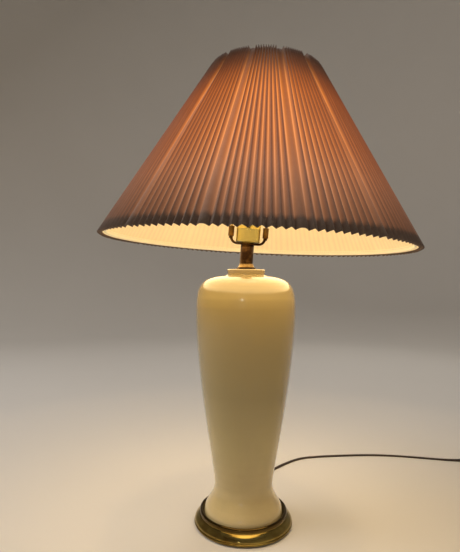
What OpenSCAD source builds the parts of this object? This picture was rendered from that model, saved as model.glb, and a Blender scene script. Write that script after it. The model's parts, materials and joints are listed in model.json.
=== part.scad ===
// Table lamp: a glazed vase on a brass foot, a harp that leans to the right, and a pleated empire shade.
// The origin is the centre of the felt pad's underside. +Z is up along the vase's axis, and the front is -Y.

/* [Foot] */
// Radius of the brass foot at its rolled rim
foot_ring_r = 68; // [67:0.5:72]
// Top of the bead round the vase's foot
bead_top = 19.5; // [19:0.5:21]
// Thickness of the felt pad
felt_t = 1.5; // [1:0.25:1.75]

/* [Vase] */
// Radius of the vase's foot
vase_foot_r = 54.5; // [52:0.5:54.5]
// Radius of the waist above the foot
waist_r = 40.4; // [36:0.2:44]
// Greatest radius, at the shoulder
belly_r = 69.4; // [60:0.2:72]
// Height of the greatest radius
belly_z = 297; // [285:1:305]
// Radius of the neck's flared rim
neck_r = 27; // [25:0.1:28]
// Height of the neck's rim
vase_top = 351.5; // [350:0.5:356]
// Thickness of the ceramic
vase_wall = 4.5; // [3.5:0.5:6]

/* [Neck and harp] */
// Radius of the neck tube
neck_tube_r = 9.3; // [8.8:0.1:10]
// Height of the harp saddle's underside
fitter_z = 386.2; // [380:0.2:392]
// How far the neck tube has leaned to the right at the saddle
fitter_x = 1.5; // [0:0.1:1.6]
// Lean of the saddle, the socket and the bulb to the right, in degrees
fitter_lean = 4; // [0:0.5:5]
// Lean of the harp from the saddle to its top, in degrees
harp_lean = 5.8; // [4:0.2:7]
// Height of the harp from the saddle to the shade's seat
harp_h = 228.6; // [220:0.2:235]
// Greatest half width of the harp's bow
harp_half_w = 51; // [46:1:56]
// Distance of each harp leg from the socket's axis
leg_x = 24.3; // [23.5:0.1:25]

/* [Shade] */
// Lean of the shade to the right, in degrees
shade_lean = 2.4; // [0:0.2:4]
// Radius of the pleats' inner folds at the bottom
shade_r = 213; // [200:1:220]
// Radius of the pleats' inner folds at the top
shade_top_r = 73.3; // [70:0.1:80]
// Height of the shade along its own axis
shade_h = 242; // [235:1:250]
// Depth of the pleats at the bottom, square to the slant
pleat_bottom = 5.2; // [4:0.1:6]
// Depth of the pleats at the top, square to the slant
pleat_top = 6.2; // [5:0.1:7]
// How far the shade's top stands above the spider's hub
drop = 13; // [10:0.5:16]

/* [Socket and bulb] */
// Outer radius of the socket's cup
socket_r = 17; // [16.8:0.1:18]
// Radius of the bulb's glass
bulb_r = 30; // [28:0.5:32]
// Length of the bulb from its contact to its top
bulb_len = 108; // [104:1:112]

/* [Cord] */
// Width of the flat two-core cord
cord_w = 5.2; // [5:0.1:5.4]
// Thickness of the flat cord
cord_t = 2.6; // [2.4:0.1:2.8]

/* [Hidden] */
$fn = 96;

brass = "#b8913f";
bright_brass = "#d9b04c";
antique_brass = "#4a3622";
steel = "#9a9a96";
cream = "#e8dcc0";
cord_brown = "#3a2a1e";

// Foot: heights of the stack under the vase
seat_z = 14;
seat_t = 1.5;
rim_bead = 1.4;
vase_bead = 2.3;
weight_r = 57;
weight_bottom = 2.5;
weight_web = 11;
cord_slot_w = 9;
nut_r = 8.6;
nut_bottom = 6.4;
washer_r = 9.5;
washer_bottom = 10;
rod_r = 5.1;
rod_bore = 3.2;
rod_hole = 5.3;
rod_top = fitter_z - 3;
exit_z = 7.5;
exit_r = 3.9;
relief_end = 90;

// Neck
waist_z = 55;
flange_r = 13.8;
flange_top = 359.2;

// Fitter, measured up from the saddle's underside along the leaning axis
saddle_t = 3;
saddle_w = 9;
boss_r = 9.5;
arm_bend = 9.1;
arm_t = 4;
post_r = 2.8;
post_top = 18;
leg_foot = 18.3;
leg_foot_top = 24;
leg_straight = 40;
sleeve_bottom = 11;
sleeve_top = 25.3;
sleeve_r = 4.2;
sleeve_bore = 3.2;
wire_r = 1.7;
cap_bottom = 3.6;
cap_boss_top = 8.5;
cap_top = 25;
shell_top = 62;
shell_t = 0.8;
body_bottom = 10;
body_step = 22;
body_top = 36;
knob_z = 29;
knob_front = 34;
tip_z = 38.1;
glass_z = 61.3;
glass_t = 0.8;

// Shade, measured from the spider hub's underside along the shade's axis
rim_z = drop - shade_h;
slant = atan2(shade_r - shade_top_r, shade_h);
liner_gap = 0.3;
liner_t = 0.6;
liner_from = 4.2;
hem_low = 3.4;
hem_top = 10;
ring_wire = 1.6;
top_ring_in = 2.2;
top_ring_r = shade_top_r - 1.8;
bottom_ring_in = 5.2;
bottom_ring_r = shade_r - 6.1;
hub_r = 12.5;
hub_t = 1.5;
hub_bore = 5.5;
hub_gap = 0.3;
stud_r = 3.1;
stud_top = 14;

// Cord: the route on the table from the strain relief to the coil, then the coil, then the plug
route = [[0, 90, 7.5], [0, 98, 6.5], [1, 107, 5], [3, 116, 3], [7, 125, 2], [13, 134, 1.5],
    [21, 142, 1.5], [30, 149.5, 1.5], [39, 157.5, 1.5], [48, 166.5, 1.5], [56, 176, 1.5],
    [63.5, 185, 1.5], [71, 193.5, 1.5], [79, 201.5, 1.5], [87.5, 210, 1.5], [97, 218, 1.5],
    [107.5, 225, 1.5], [119, 230, 1.5], [131, 233.5, 1.5], [150, 238, 1.5], [172, 242, 1.5],
    [196, 246, 1.5], [222, 249.5, 1.5], [250, 251.5, 1.5], [278, 251, 1.5], [305, 248.5, 1.5],
    [331, 245, 1.5], [356, 241, 1.5], [378, 237.5, 1.6], [398, 235, 2], [418, 233.5, 2.6],
    [437, 233.1, 2.8]];
tail = [[469.4, 200, 8.1], [469.4, 191, 7.3], [469, 182, 6.7], [467.8, 173, 6.5]];
core = [[fitter_x + 0.3, 0, 392], [0.75 * fitter_x, 0, 387], [0.4 * fitter_x, 0, 383],
    [0.1 * fitter_x, 0, 376], [0, 0, 366], [0, 0, 300], [0, 0, 200], [0, 0, 100], [0, 0, 16], [0, 0, 9],
    [0, 0.5, 6], [0, 3.5, 4.3], [0, 8, 4], [0, 20, 4], [0, 35, 4.6], [0, 48, 6.4], [0, 58, 7.5],
    [0, 90, 7.5]];
core_r = 2.3;
coil_at = [437, 200, 0];
coil_mid_r = 28.4;
coil_half_w = 6.05;
coil_low = 0.2;
coil_high = 10.8;
plug_at = [467.8, 173, 6.5];
plug_turn = -8;
plug_len = 30;

// ---- curves ----
function bezier(p, t) =
    pow(1 - t, 3) * p[0] + 3 * t * pow(1 - t, 2) * p[1] + 3 * t * t * (1 - t) * p[2] + pow(t, 3) * p[3];
// n points from the start of the curve, leaving out its end
function along(p, n) = [for (i = [0 : n - 1]) bezier(p, i / n)];
function arc(c, r, from, to, n) =
    [for (i = [0 : n]) let (a = from + (to - from) * i / n) c + r * [cos(a), sin(a)]];
function unit(v) = v / norm(v);
function heading(p, i) = unit(p[min(i + 1, len(p) - 1)] - p[max(i - 1, 0)]);
// an outline that runs upwards, moved in by t
function inset(p, t) = [for (i = [0 : len(p) - 1]) let (d = heading(p, i)) p[i] + t * [-d[1], d[0]]];
function reverse(p) = [for (i = [len(p) - 1 : -1 : 0]) p[i]];

// an oval tube along a path; side is square to the heading and to up
module tube(path, up, half_w, half_t, sides) {
    m = len(path);
    points = [for (i = [0 : m - 1])
        let (t = heading(path, i), s = unit(cross(t, up)), q = cross(s, t))
        for (k = [0 : sides - 1])
            path[i] + half_w * cos(360 * k / sides) * s + half_t * sin(360 * k / sides) * q];
    walls = [for (i = [0 : m - 2], k = [0 : sides - 1])
        let (a = i * sides + k, b = i * sides + (k + 1) % sides) [a, b, b + sides, a + sides]];
    near = [for (k = [sides - 1 : -1 : 0]) k];
    far = [for (k = [0 : sides - 1]) (m - 1) * sides + k];
    polyhedron(points, concat([near], walls, [far]), convexity = 6);
}

module pipe(r, bore, low, high) {
    translate([0, 0, low]) difference() {
        cylinder(r = r, h = high - low);
        translate([0, 0, -1]) cylinder(r = bore, h = high - low + 2);
    }
}

module ring_wire_at(r, z) {
    rotate_extrude() translate([r, z]) circle(r = ring_wire, $fn = 24);
}

// ---- frames ----
module at_fitter() {
    translate([fitter_x, 0, fitter_z]) rotate([0, fitter_lean, 0]) children();
}

module at_shade() {
    translate([fitter_x + harp_h * sin(harp_lean), 0, fitter_z + harp_h * cos(harp_lean)])
        rotate([0, shade_lean, 0]) children();
}

module at_plug() {
    translate(plug_at) rotate([0, 0, plug_turn]) rotate([90, 0, 0]) children();
}

// ---- foot ----
module felt_pad() {
    color("#3c4a3a") cylinder(r = foot_ring_r - 4, h = felt_t);
}

module base_ring() {
    rim = [foot_ring_r - rim_bead, felt_t + rim_bead];
    skirt_top = [60.6, 13.4];
    skirt = [[foot_ring_r - 0.9, 4.4], [foot_ring_r, 7.4], [foot_ring_r - 2.4, 9.6], skirt_top];
    bead = [58.2, bead_top - vase_bead];
    seat_r = vase_foot_r + 0.4;
    under_skirt = [[58.6, seat_z - seat_t], [62.2, 10.7], [63.6, 7.6], [63.6, 5]];
    color(brass) difference() {
        rotate_extrude() polygon(concat(
            [[foot_ring_r - 4.6, felt_t]],
            arc(rim, rim_bead, -90, 75, 10),
            along(skirt, 10), [skirt_top, skirt_top + [-0.6, 0.2]],
            arc(bead, vase_bead, -15, 180, 12),
            [[seat_r, bead_top - 3], [seat_r, seat_z], [rod_hole, seat_z], [rod_hole, seat_z - seat_t]],
            under_skirt));
        translate([0, 50, exit_z]) rotate([-90, 0, 0]) cylinder(r = exit_r, h = 30);
    }
}

module base_weight() {
    top = seat_z - seat_t - 0.1;
    recess_r = 13;
    color("#2e2e2e") difference() {
        pipe(weight_r, rod_hole, weight_bottom, top);
        translate([0, 0, weight_bottom - 1]) cylinder(r = recess_r, h = weight_web - weight_bottom + 1);
        translate([-cord_slot_w / 2, recess_r - 3, weight_bottom - 1])
            cube([cord_slot_w, weight_r, cord_slot_w]);
    }
}

module base_nut() {
    color(steel) translate([0, 0, nut_bottom]) difference() {
        cylinder(r = nut_r, h = washer_bottom - nut_bottom, $fn = 6);
        translate([0, 0, -1]) cylinder(r = rod_r, h = 10);
    }
}

module lock_washer() {
    color(steel) pipe(washer_r, rod_hole, washer_bottom, weight_web);
}

module center_rod() {
    color(steel) pipe(rod_r, rod_bore, nut_bottom - 0.2, rod_top);
}

module socket_nipple() {
    color(steel) at_fitter() pipe(rod_r, rod_bore, -1.8, 8.2);
}

// ---- vase ----
module vase() {
    bottom = 15.5;
    inside_bottom = seat_z + 6;
    drain_r = 9;
    neck_z = vase_top - 9;
    lip = neck_r - 1.4;
    foot = [[vase_foot_r, bottom], [vase_foot_r, 30], [waist_r, 36], [waist_r, waist_z]];
    belly = [[waist_r, waist_z], [waist_r, 75], [belly_r, 203], [belly_r, belly_z]];
    shoulder = [[belly_r, belly_z], [belly_r, belly_z + 34], [60.5, neck_z - 1.2], [lip, neck_z]];
    outside = concat(along(foot, 12), along(belly, 16), along(shoulder, 16), [shoulder[3]]);
    inside = inset(outside, vase_wall);
    color(cream) rotate_extrude($fn = 128) polygon(concat(
        [[drain_r, seat_z], [vase_foot_r - 1.5, seat_z]],
        outside,
        [[neck_r - 0.2, vase_top - 2.2]],
        arc([lip, vase_top - 1.4], 1.4, -10, 90, 5),
        [[rod_hole, vase_top], [rod_hole, vase_top - vase_wall], [lip - vase_wall, vase_top - vase_wall]],
        reverse(inside),
        [[vase_foot_r - vase_wall, inside_bottom], [drain_r, inside_bottom]]));
}

module neck_flange() {
    disc = [[rod_hole, 0], [flange_r, 0], [flange_r, 1.9], [flange_r - 0.6, 2.5]];
    collar = [[11.4, 2.7], [10.6, 4.2], [9.9, 6.8], [neck_tube_r + 0.5, flange_top - vase_top],
        [rod_hole, flange_top - vase_top]];
    color(antique_brass) translate([0, 0, vase_top]) rotate_extrude() polygon(concat(disc, collar));
}

module neck_tube() {
    lean = atan2(fitter_x, fitter_z - flange_top);
    color(antique_brass) difference() {
        translate([0, 0, flange_top]) rotate([0, lean, 0])
            pipe(neck_tube_r, neck_tube_r - 1.4, -2, fitter_z - flange_top + 3);
        at_fitter() cylinder(r = 2 * neck_tube_r, h = 10);
        translate([0, 0, flange_top - 5]) cylinder(r = 2 * neck_tube_r, h = 5);
    }
}

// ---- harp ----
module harp_saddle() {
    flat_x = leg_x - arm_bend;
    arm_top = arm_bend + saddle_t / 2;
    inner = [for (q = arc([0, 0], 1, 0, -90, 10))
        [flat_x + (arm_top - arm_t) * q[0], arm_top + (arm_top - saddle_t) * q[1]]];
    strip = concat(arc([flat_x, arm_top], arm_top, -90, 0, 10), inner);
    color(brass) at_fitter() difference() {
        union() {
            for (side = [-1, 1]) {
                mirror([(1 - side) / 2, 0, 0]) translate([0, saddle_w / 2, 0])
                    rotate([90, 0, 0]) linear_extrude(height = saddle_w) polygon(strip);
                translate([side * leg_x, 0, arm_bend - 1]) cylinder(r = post_r, h = post_top - arm_bend + 1);
            }
            translate([-flat_x, -saddle_w / 2, 0]) cube([2 * flat_x, saddle_w, saddle_t]);
            cylinder(r = boss_r, h = saddle_t);
        }
        translate([0, 0, -1]) cylinder(r = rod_hole, h = saddle_t + 2);
    }
}

// lean of the bow at height z: the legs follow the saddle, and the top follows harp_lean
function bow_lean(z) = fitter_lean + (harp_lean - fitter_lean) * min(1, max(0, (z - leg_straight) / 50));
function bow_point(x, z) = let (a = bow_lean(z))
    [fitter_x + x * cos(a) + z * sin(a), 0, fitter_z - x * sin(a) + z * cos(a)];

module harp_bow() {
    top = harp_h - 3.6;
    flank = [[leg_x, leg_straight], [leg_x + 1, 70], [harp_half_w, 95], [harp_half_w, 145]];
    crown = [[harp_half_w, 145], [harp_half_w, 195], [34, top], [9, top]];
    right = concat([[leg_x, leg_foot], [leg_x, 28]], along(flank, 10), along(crown, 12), [crown[3]]);
    left = [for (p = reverse(right)) [-p[0], p[1]]];
    color(bright_brass) {
        tube([for (p = concat(right, left)) bow_point(p[0], p[1])], [0, 1, 0], wire_r, wire_r, 10);
        at_fitter() for (side = [-1, 1])
            translate([side * leg_x, 0, leg_foot]) cylinder(r = post_r, h = leg_foot_top - leg_foot);
    }
}

module sleeve(side) {
    color(brass) at_fitter() translate([side * leg_x, 0, 0]) rotate_extrude($fn = 48) polygon([
        [sleeve_bore, sleeve_bottom], [sleeve_r - 0.5, sleeve_bottom], [sleeve_r, sleeve_bottom + 0.6],
        [sleeve_r, sleeve_top - 0.6], [sleeve_r - 0.5, sleeve_top], [wire_r + 0.4, sleeve_top],
        [wire_r + 0.4, leg_foot_top + 0.3], [sleeve_bore, leg_foot_top + 0.3]]);
}

module sleeve_left() {
    sleeve(-1);
}

module sleeve_right() {
    sleeve(1);
}

module harp_seat() {
    disc_low = -2.2;
    disc_top = -hub_gap;
    color(bright_brass) at_shade() {
        translate([0, 0, -5]) cylinder(r = 4, h = 3);
        translate([0, 0, disc_low]) cylinder(r = 7.5, h = disc_top - disc_low);
        translate([0, 0, disc_top - 0.1]) cylinder(r = stud_r, h = stud_top - disc_top + 0.1);
    }
}

module finial() {
    foot = concat([[0, 0], [7.6, 0]], arc([7.2, 1], 1, -60, 90, 6));
    waist = [[4.4, 2.4], [3.9, 5]];
    ball = arc([0, 14.5], 8, -58, 62, 16);
    button = concat([[2.6, 22.4]], arc([0, 24], 2.6, -35, 90, 10));
    color(bright_brass) at_shade() translate([0, 0, hub_t + hub_gap]) difference() {
        rotate_extrude() polygon(concat(foot, waist, ball, button));
        translate([0, 0, -1]) cylinder(r = stud_r + 0.08, h = stud_top);
    }
}

// ---- shade ----
module shade_spider() {
    arm_from = [hub_r - 1.5, hub_t / 2];
    arm_to = [top_ring_r, drop - top_ring_in];
    rise = arm_to - arm_from;
    color(brass) at_shade() {
        difference() {
            cylinder(r = hub_r, h = hub_t);
            translate([0, 0, -1]) cylinder(r = hub_bore, h = hub_t + 2);
        }
        for (a = [90, 210, 330])
            rotate([0, 0, a]) translate([arm_from[0], 0, arm_from[1]])
                rotate([0, 90 - atan2(rise[1], rise[0]), 0]) cylinder(r = 1.4, h = norm(rise), $fn = 24);
    }
}

module shade_top_ring() {
    color(brass) at_shade() ring_wire_at(top_ring_r, drop - top_ring_in);
}

module shade_bottom_ring() {
    color(brass) at_shade() ring_wire_at(bottom_ring_r, rim_z + bottom_ring_in);
}

// a cone's wall from its inner face to its outer face, which are given as distances outside the inner folds;
// it starts at from along the slant
module cone_wall(inner, outer_low, outer_high, from = 0) {
    out = [cos(slant), sin(slant)];
    low = [shade_r, rim_z] + from * [-sin(slant), cos(slant)];
    high = [shade_top_r, drop];
    at_shade() rotate_extrude($fn = 180)
        polygon([low + inner * out, low + outer_low * out, high + outer_high * out, high + inner * out]);
}

module shade_fabric() {
    color("#a8705c") cone_wall(0, pleat_bottom, pleat_top);
}

module shade_liner() {
    color("#f0e2b8") cone_wall(-liner_gap - liner_t, -liner_gap, -liner_gap, liner_from);
}

module hem_tape() {
    outer = bottom_ring_r - ring_wire - 0.2;
    color("#f4ead0") at_shade() pipe(outer, outer - 0.6, rim_z + hem_low, rim_z + hem_top, $fn = 180);
}

// ---- socket ----
module knob_bore(r) {
    translate([0, 0, knob_z]) rotate([90, 0, 0]) cylinder(r = r, h = 30);
}

module socket_cap() {
    color(bright_brass) at_fitter() rotate_extrude() polygon(concat(
        [[rod_hole, saddle_t], [9, saddle_t], [9, cap_bottom]],
        arc([socket_r - 1.2, cap_bottom + 1.2], 1.2, -90, 0, 6),
        [[socket_r, cap_top], [socket_r - shell_t, cap_top], [socket_r - shell_t, cap_bottom + 1.3],
         [8, cap_bottom + 1.3], [8, cap_boss_top], [rod_hole, cap_boss_top]]));
}

module socket_shell() {
    color(bright_brass) at_fitter() difference() {
        rotate_extrude() polygon([[socket_r - 1, cap_top], [socket_r, cap_top], [socket_r + 0.2, cap_top + 1],
            [socket_r, cap_top + 2], [socket_r - 0.2, shell_top - 2], [socket_r + 0.3, shell_top - 1],
            [socket_r - 0.2, shell_top], [socket_r - 1, shell_top]]);
        knob_bore(2.6);
    }
}

module socket_liner() {
    color("#b79f78") at_fitter() difference() {
        pipe(socket_r - 1.2, socket_r - 2, cap_top, shell_top - 1);
        knob_bore(2.6);
    }
}

module socket_body() {
    color("#2a1c14") at_fitter() difference() {
        union() {
            translate([0, 0, body_bottom]) cylinder(r = 12, h = body_top - body_bottom);
            translate([0, 0, body_step]) cylinder(r = 14.4, h = body_top - body_step);
        }
        knob_bore(2.3);
        translate([0, 0, body_bottom - 1]) cylinder(r = 4, h = 8);
    }
}

module screw_shell() {
    color(brass) at_fitter() pipe(13.9, 13.5, body_top + 0.3, shell_top - 1);
}

module centre_contact() {
    color(brass) at_fitter() translate([0, 0, body_top]) cylinder(r = 3.2, h = 1.7);
}

module switch_knob() {
    shaft_back = 3;
    grip_back = 22;
    grip_r = 6.2;
    color("#221a14") at_fitter() translate([0, 0, knob_z]) rotate([90, 0, 0]) {
        translate([0, 0, shaft_back]) cylinder(r = 2, h = grip_back - shaft_back);
        translate([0, 0, grip_back]) linear_extrude(height = knob_front - grip_back) difference() {
            circle(r = grip_r);
            for (a = [0 : 30 : 330]) rotate(a) translate([grip_r + 0.6, 0]) circle(r = 1.1, $fn = 16);
        }
    }
}

// ---- bulb ----
module bulb_base() {
    color(steel) at_fitter() rotate_extrude() polygon([[0, tip_z], [3.5, tip_z], [4.2, tip_z + 0.8],
        [10.5, tip_z + 3.4], [13.1, tip_z + 5], [13.1, glass_z - 0.6], [12.6, glass_z], [0, glass_z]]);
}

module bulb_glass() {
    middle = tip_z + bulb_len - bulb_r;
    neck = [[13.8, glass_z], [14.4, glass_z + 16], [bulb_r, middle - 22], [bulb_r, middle]];
    outside = concat(along(neck, 12), arc([0, middle], bulb_r, 0, 90, 12));
    inner = concat(along(neck, 12), arc([0, middle], bulb_r, 0, 78, 10));
    color("#fff4d8", 0.6) at_fitter() rotate_extrude() polygon(concat(outside,
        [[0, middle + bulb_r - glass_t]], reverse(inset(inner, glass_t)), [[12.9, glass_z]]));
}

module filament() {
    wire_from = [1.4, glass_z + 18];
    wire_to = [8, 104];
    run = wire_to - wire_from;
    color("#ffcc66") at_fitter() {
        translate([0, 0, glass_z + 0.3]) cylinder(r1 = 6, r2 = 2.6, h = 22, $fn = 32);
        for (side = [-1, 1])
            translate([side * wire_from[0], 0, wire_from[1]]) rotate([0, side * atan2(run[0], run[1]), 0])
                cylinder(r = 0.4, h = norm(run), $fn = 16);
        translate([-wire_to[0] - 0.4, 0, wire_to[1]]) rotate([0, 90, 0])
            cylinder(r = 0.7, h = 2 * wire_to[0] + 0.8, $fn = 16);
    }
}

// ---- cord ----
module cord_inside() {
    color(cord_brown) tube(core, [1, 0, 0], core_r, core_r, 8);
}

module strain_relief() {
    inner_flange = [[2.7, 58], [4.4, 58], [4.4, 59.6], [3.6, 60]];
    outer_flange = [[3.6, 68.4], [5.6, 68.8], [5.6, 70.6], [4.6, 72]];
    tip = [[3.4, relief_end], [2.7, relief_end]];
    color("#2b211a") translate([0, 0, exit_z]) rotate([-90, 0, 0])
        rotate_extrude($fn = 48) polygon(concat(inner_flange, outer_flange, tip));
}

module cord_tube() {
    color(cord_brown) {
        tube(route, [0, 0, 1], cord_w / 2, cord_t / 2, 8);
        tube(tail, [0, 0, 1], cord_t / 2, cord_w / 2, 8);
    }
}

module cord_coil() {
    color(cord_brown) translate(coil_at) rotate_extrude()
        translate([coil_mid_r - coil_half_w, coil_low]) square([2 * coil_half_w, coil_high - coil_low]);
}

module plug_body() {
    grip = [24, 13.4];
    grip_at = [-12, -6.2, 8];
    color("#33261c") at_plug() {
        translate(grip_at) cube([grip[0], grip[1], plug_len - grip_at[2]]);
        hull() {
            translate(grip_at) cube([grip[0], grip[1], 0.5]);
            translate([-4, -4, 0]) cube([8, 8, 0.5]);
        }
    }
}

module plug_blades() {
    blade = [1.5, 6.3, 16];
    spacing = 12.7;
    color("#c9b27a") at_plug() for (side = [-1, 1])
        translate([(side * spacing - blade[0]) / 2, -2.7, plug_len]) cube(blade);
}

felt_pad();
base_ring();
base_weight();
base_nut();
lock_washer();
center_rod();
socket_nipple();
vase();
neck_flange();
neck_tube();
harp_saddle();
harp_bow();
sleeve_left();
sleeve_right();
harp_seat();
finial();
shade_spider();
shade_top_ring();
shade_bottom_ring();
shade_fabric();
shade_liner();
hem_tape();
socket_cap();
socket_shell();
socket_liner();
socket_body();
screw_shell();
centre_contact();
switch_knob();
bulb_base();
bulb_glass();
filament();
cord_inside();
strain_relief();
cord_tube();
cord_coil();
plug_body();
plug_blades();
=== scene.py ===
"""A lit table lamp: glazed vase on a brass foot, leaning harp, pleated empire shade and flat cord.

Points of the lamp are written in millimetres and turned into metres where a mesh is made.
The lamp's front is -Y. Heights inside the socket's and the shade's frames run along their axes.
"""

import json
import math
import random

import bmesh
import bpy
import numpy as np
from mathutils import Matrix, Vector


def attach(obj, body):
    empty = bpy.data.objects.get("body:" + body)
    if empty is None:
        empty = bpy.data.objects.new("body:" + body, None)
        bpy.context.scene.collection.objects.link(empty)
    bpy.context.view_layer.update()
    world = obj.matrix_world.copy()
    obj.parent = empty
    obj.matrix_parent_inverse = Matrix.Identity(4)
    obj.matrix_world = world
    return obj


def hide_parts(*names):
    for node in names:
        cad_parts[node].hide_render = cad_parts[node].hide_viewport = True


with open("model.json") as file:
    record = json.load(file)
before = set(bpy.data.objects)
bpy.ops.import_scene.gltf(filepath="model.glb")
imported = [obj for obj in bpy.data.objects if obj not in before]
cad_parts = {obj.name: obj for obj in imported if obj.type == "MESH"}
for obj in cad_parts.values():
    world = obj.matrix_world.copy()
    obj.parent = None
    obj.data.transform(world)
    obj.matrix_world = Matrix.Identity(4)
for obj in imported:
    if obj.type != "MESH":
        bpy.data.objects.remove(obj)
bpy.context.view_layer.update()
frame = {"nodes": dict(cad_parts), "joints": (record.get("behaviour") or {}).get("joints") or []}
scene = bpy.context.scene
MM = 0.001


# ---- dimensions, in millimetres, degrees and shares ----

# foot and felt
FOOT_R = 68
SKIRT_TOP = (60.6, 13.4)
BEAD_TOP = 19.5
FELT_T = 1.5
BORE_R = 5.3

# vase and neck
VASE_TOP = 351.5
VASE_WALL = 4.5
BELLY_R = 69.4
BELLY_Z = 297
WAIST_R = 40.4
WAIST_Z = 55
VASE_FOOT_R = 54.5
NECK_R = 27
DISC_TOP = VASE_TOP + 2.6
FLANGE_TOP = 359.2
TUBE_R = 9.3

# fitter (its place on the neck), harp, socket and bulb: heights run up the fitter's axis
FITTER_X = 1.5
FITTER_Z = 386.2
FITTER_LEAN = 4
HARP_LEAN = 5.8
HARP_H = 228.6
HARP_HALF_W = 51
LEG_X = 24.3
LEG_STRAIGHT = 40
LEG_FOOT = 18.3
ARM_TOP = 10.6
ARM_T = 4
SADDLE_T = 3
CAP_TOP = 25
SHELL_TOP = 62
KNOB_Z = 29
SOCKET_R = 17
TIP_Z = 38.1
GLASS_Z = 61.3
BULB_R = 30
BULB_LEN = 108
BULB_MIDDLE = TIP_Z + BULB_LEN - BULB_R

# shade: heights run up its axis from the harp's seat; the rings have a radius and a height, and the
# other pairs are for the bottom and the top
SHADE_R = 213
SHADE_TOP_R = 73.3
SHADE_H = 242
DROP = 13
RIM_Z = DROP - SHADE_H
SLANT = math.atan2(SHADE_R - SHADE_TOP_R, SHADE_H)
PLEAT_DEPTH = (5.2, 6.2)
PLEAT_GROUPS = 14
NARROW_PLEATS = 9
WIDE_RATIO = (1.44, 2.2)
WIDE_DEPTH = (0.98, 0.26)
FIRST_WIDE = math.radians(10.2)
CLOTH_T = 0.3
LINER_GAP = 0.3
LINER_T = 0.6
LINER_FROM = 4.2
RING_WIRE = 1.6
TOP_RING = (SHADE_TOP_R - 1.8, DROP - 2.2)
BOTTOM_RING = (SHADE_R - 6.1, RIM_Z + 5.2)
HEM_TOP = RIM_Z + 9.8


# ---- frames, from the joints ----

joints = {joint["name"]: joint for joint in frame["joints"]}


def shift(x, y, z):
    """A move by millimetres."""
    return Matrix.Translation((x * MM, y * MM, z * MM))


def axis_frame(name):
    """The frame at a joint's point whose +Z is the joint's axis, turned only about Y."""
    axis = joints[name]["axis"]
    return Matrix.Translation(joints[name]["pos_m"]) @ Matrix.Rotation(math.atan2(axis[0], axis[2]), 4, "Y")


world = Matrix.Identity(4)
fitter = axis_frame("bulb_turn")
at_shade = axis_frame("shade_turn")
at_legs = {"left": fitter @ shift(-LEG_X, 0, 0), "right": fitter @ shift(LEG_X, 0, 0)}
at_knob = fitter @ shift(0, 0, KNOB_Z) @ Matrix.Rotation(math.pi / 2, 4, "X")


# ---- camera ----

def add_object(name, data):
    """An object of the scene that shows the data."""
    piece = bpy.data.objects.new(name, data)
    scene.collection.objects.link(piece)
    return piece


def make_camera():
    """The photograph's view: nearly level, straight in front of the vase and turned a little to its left."""
    yaw, pitch, roll = 0.0354, 0.0114, 0.0123
    data = bpy.data.cameras.new("camera")
    data.sensor_width = 36
    data.lens = 29.5
    data.clip_start = 0.01
    camera = add_object("camera", data)
    camera.matrix_world = (shift(0, -637.8, 334.8) @ Matrix.Rotation(yaw, 4, "Z")
                           @ Matrix.Rotation(math.pi / 2 + pitch, 4, "X") @ Matrix.Rotation(roll, 4, "Z"))
    scene.camera = camera


make_camera()


# ---- curves ----

def blend(ends, share):
    """The value at a share of the way between two."""
    return ends[0] + (ends[1] - ends[0]) * share


def round_angles(n):
    """n angles evenly round a circle."""
    return [2 * math.pi * k / n for k in range(n)]


def bezier(p, t):
    """The point at t of a cubic curve."""
    p = [np.array(q, float) for q in p]
    return ((1 - t) ** 3 * p[0] + 3 * t * (1 - t) ** 2 * p[1] + 3 * t * t * (1 - t) * p[2] + t ** 3 * p[3])


def along(p, n):
    """n points from the start of a cubic curve, leaving out its end."""
    return [tuple(bezier(p, i / n)) for i in range(n)]


def arc(centre, r, start, end, n):
    """n + 1 points on an arc, between two angles in degrees."""
    angles = [math.radians(start + (end - start) * i / n) for i in range(n + 1)]
    return [(centre[0] + r * math.cos(a), centre[1] + r * math.sin(a)) for a in angles]


def smooth(points, step):
    """A curve through the points, about step apart: cubic, with its slope taken from the neighbours."""
    p = [Vector(q) for q in points]
    p = [2 * p[0] - p[1]] + p + [2 * p[-1] - p[-2]]
    out = []
    for i in range(1, len(p) - 2):
        n = max(1, round((p[i + 1] - p[i]).length / step))
        for k in range(n):
            t = k / n
            out.append(0.5 * (2 * p[i] + (p[i + 1] - p[i - 1]) * t
                              + (2 * p[i - 1] - 5 * p[i] + 4 * p[i + 1] - p[i + 2]) * t * t
                              + (3 * p[i] - p[i - 1] - 3 * p[i + 1] + p[i + 2]) * t ** 3))
    return out + [p[-2]]


# ---- meshes ----

def add_mesh(name, points, faces, look, matrix=world, sharp=40):
    """A piece from points in millimetres in a frame, smooth except at edges over sharp degrees.

    look is the name of its material in looks.
    """
    mesh = bpy.data.meshes.new(name)
    mesh.from_pydata([matrix @ (Vector(p) * MM) for p in points], [], faces)
    b = bmesh.new()
    b.from_mesh(mesh)
    bmesh.ops.remove_doubles(b, verts=b.verts, dist=1e-7)
    bmesh.ops.recalc_face_normals(b, faces=b.faces)
    b.to_mesh(mesh)
    b.free()
    mesh.shade_smooth()
    mesh.set_sharp_from_angle(angle=math.radians(sharp))
    mesh.materials.append(looks[look])
    return add_object(name, mesh)


def strips(rows, columns, looped=False):
    """Faces between rings of points that lie one after another; looped joins the last ring to the first."""
    faces = []
    for i in range(rows if looped else rows - 1):
        j = (i + 1) % rows
        for k in range(columns):
            n = (k + 1) % columns
            faces.append((i * columns + k, i * columns + n, j * columns + n, j * columns + k))
    return faces


def bar_faces(rows, columns):
    """Strips between rings of points, and a face over each end."""
    last = (rows - 1) * columns
    return strips(rows, columns) + [tuple(reversed(range(columns))), tuple(range(last, last + columns))]


def numbered_from(first, faces):
    """The same faces, on points that start at the number first."""
    return [tuple(first + n for n in face) for face in faces]


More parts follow.
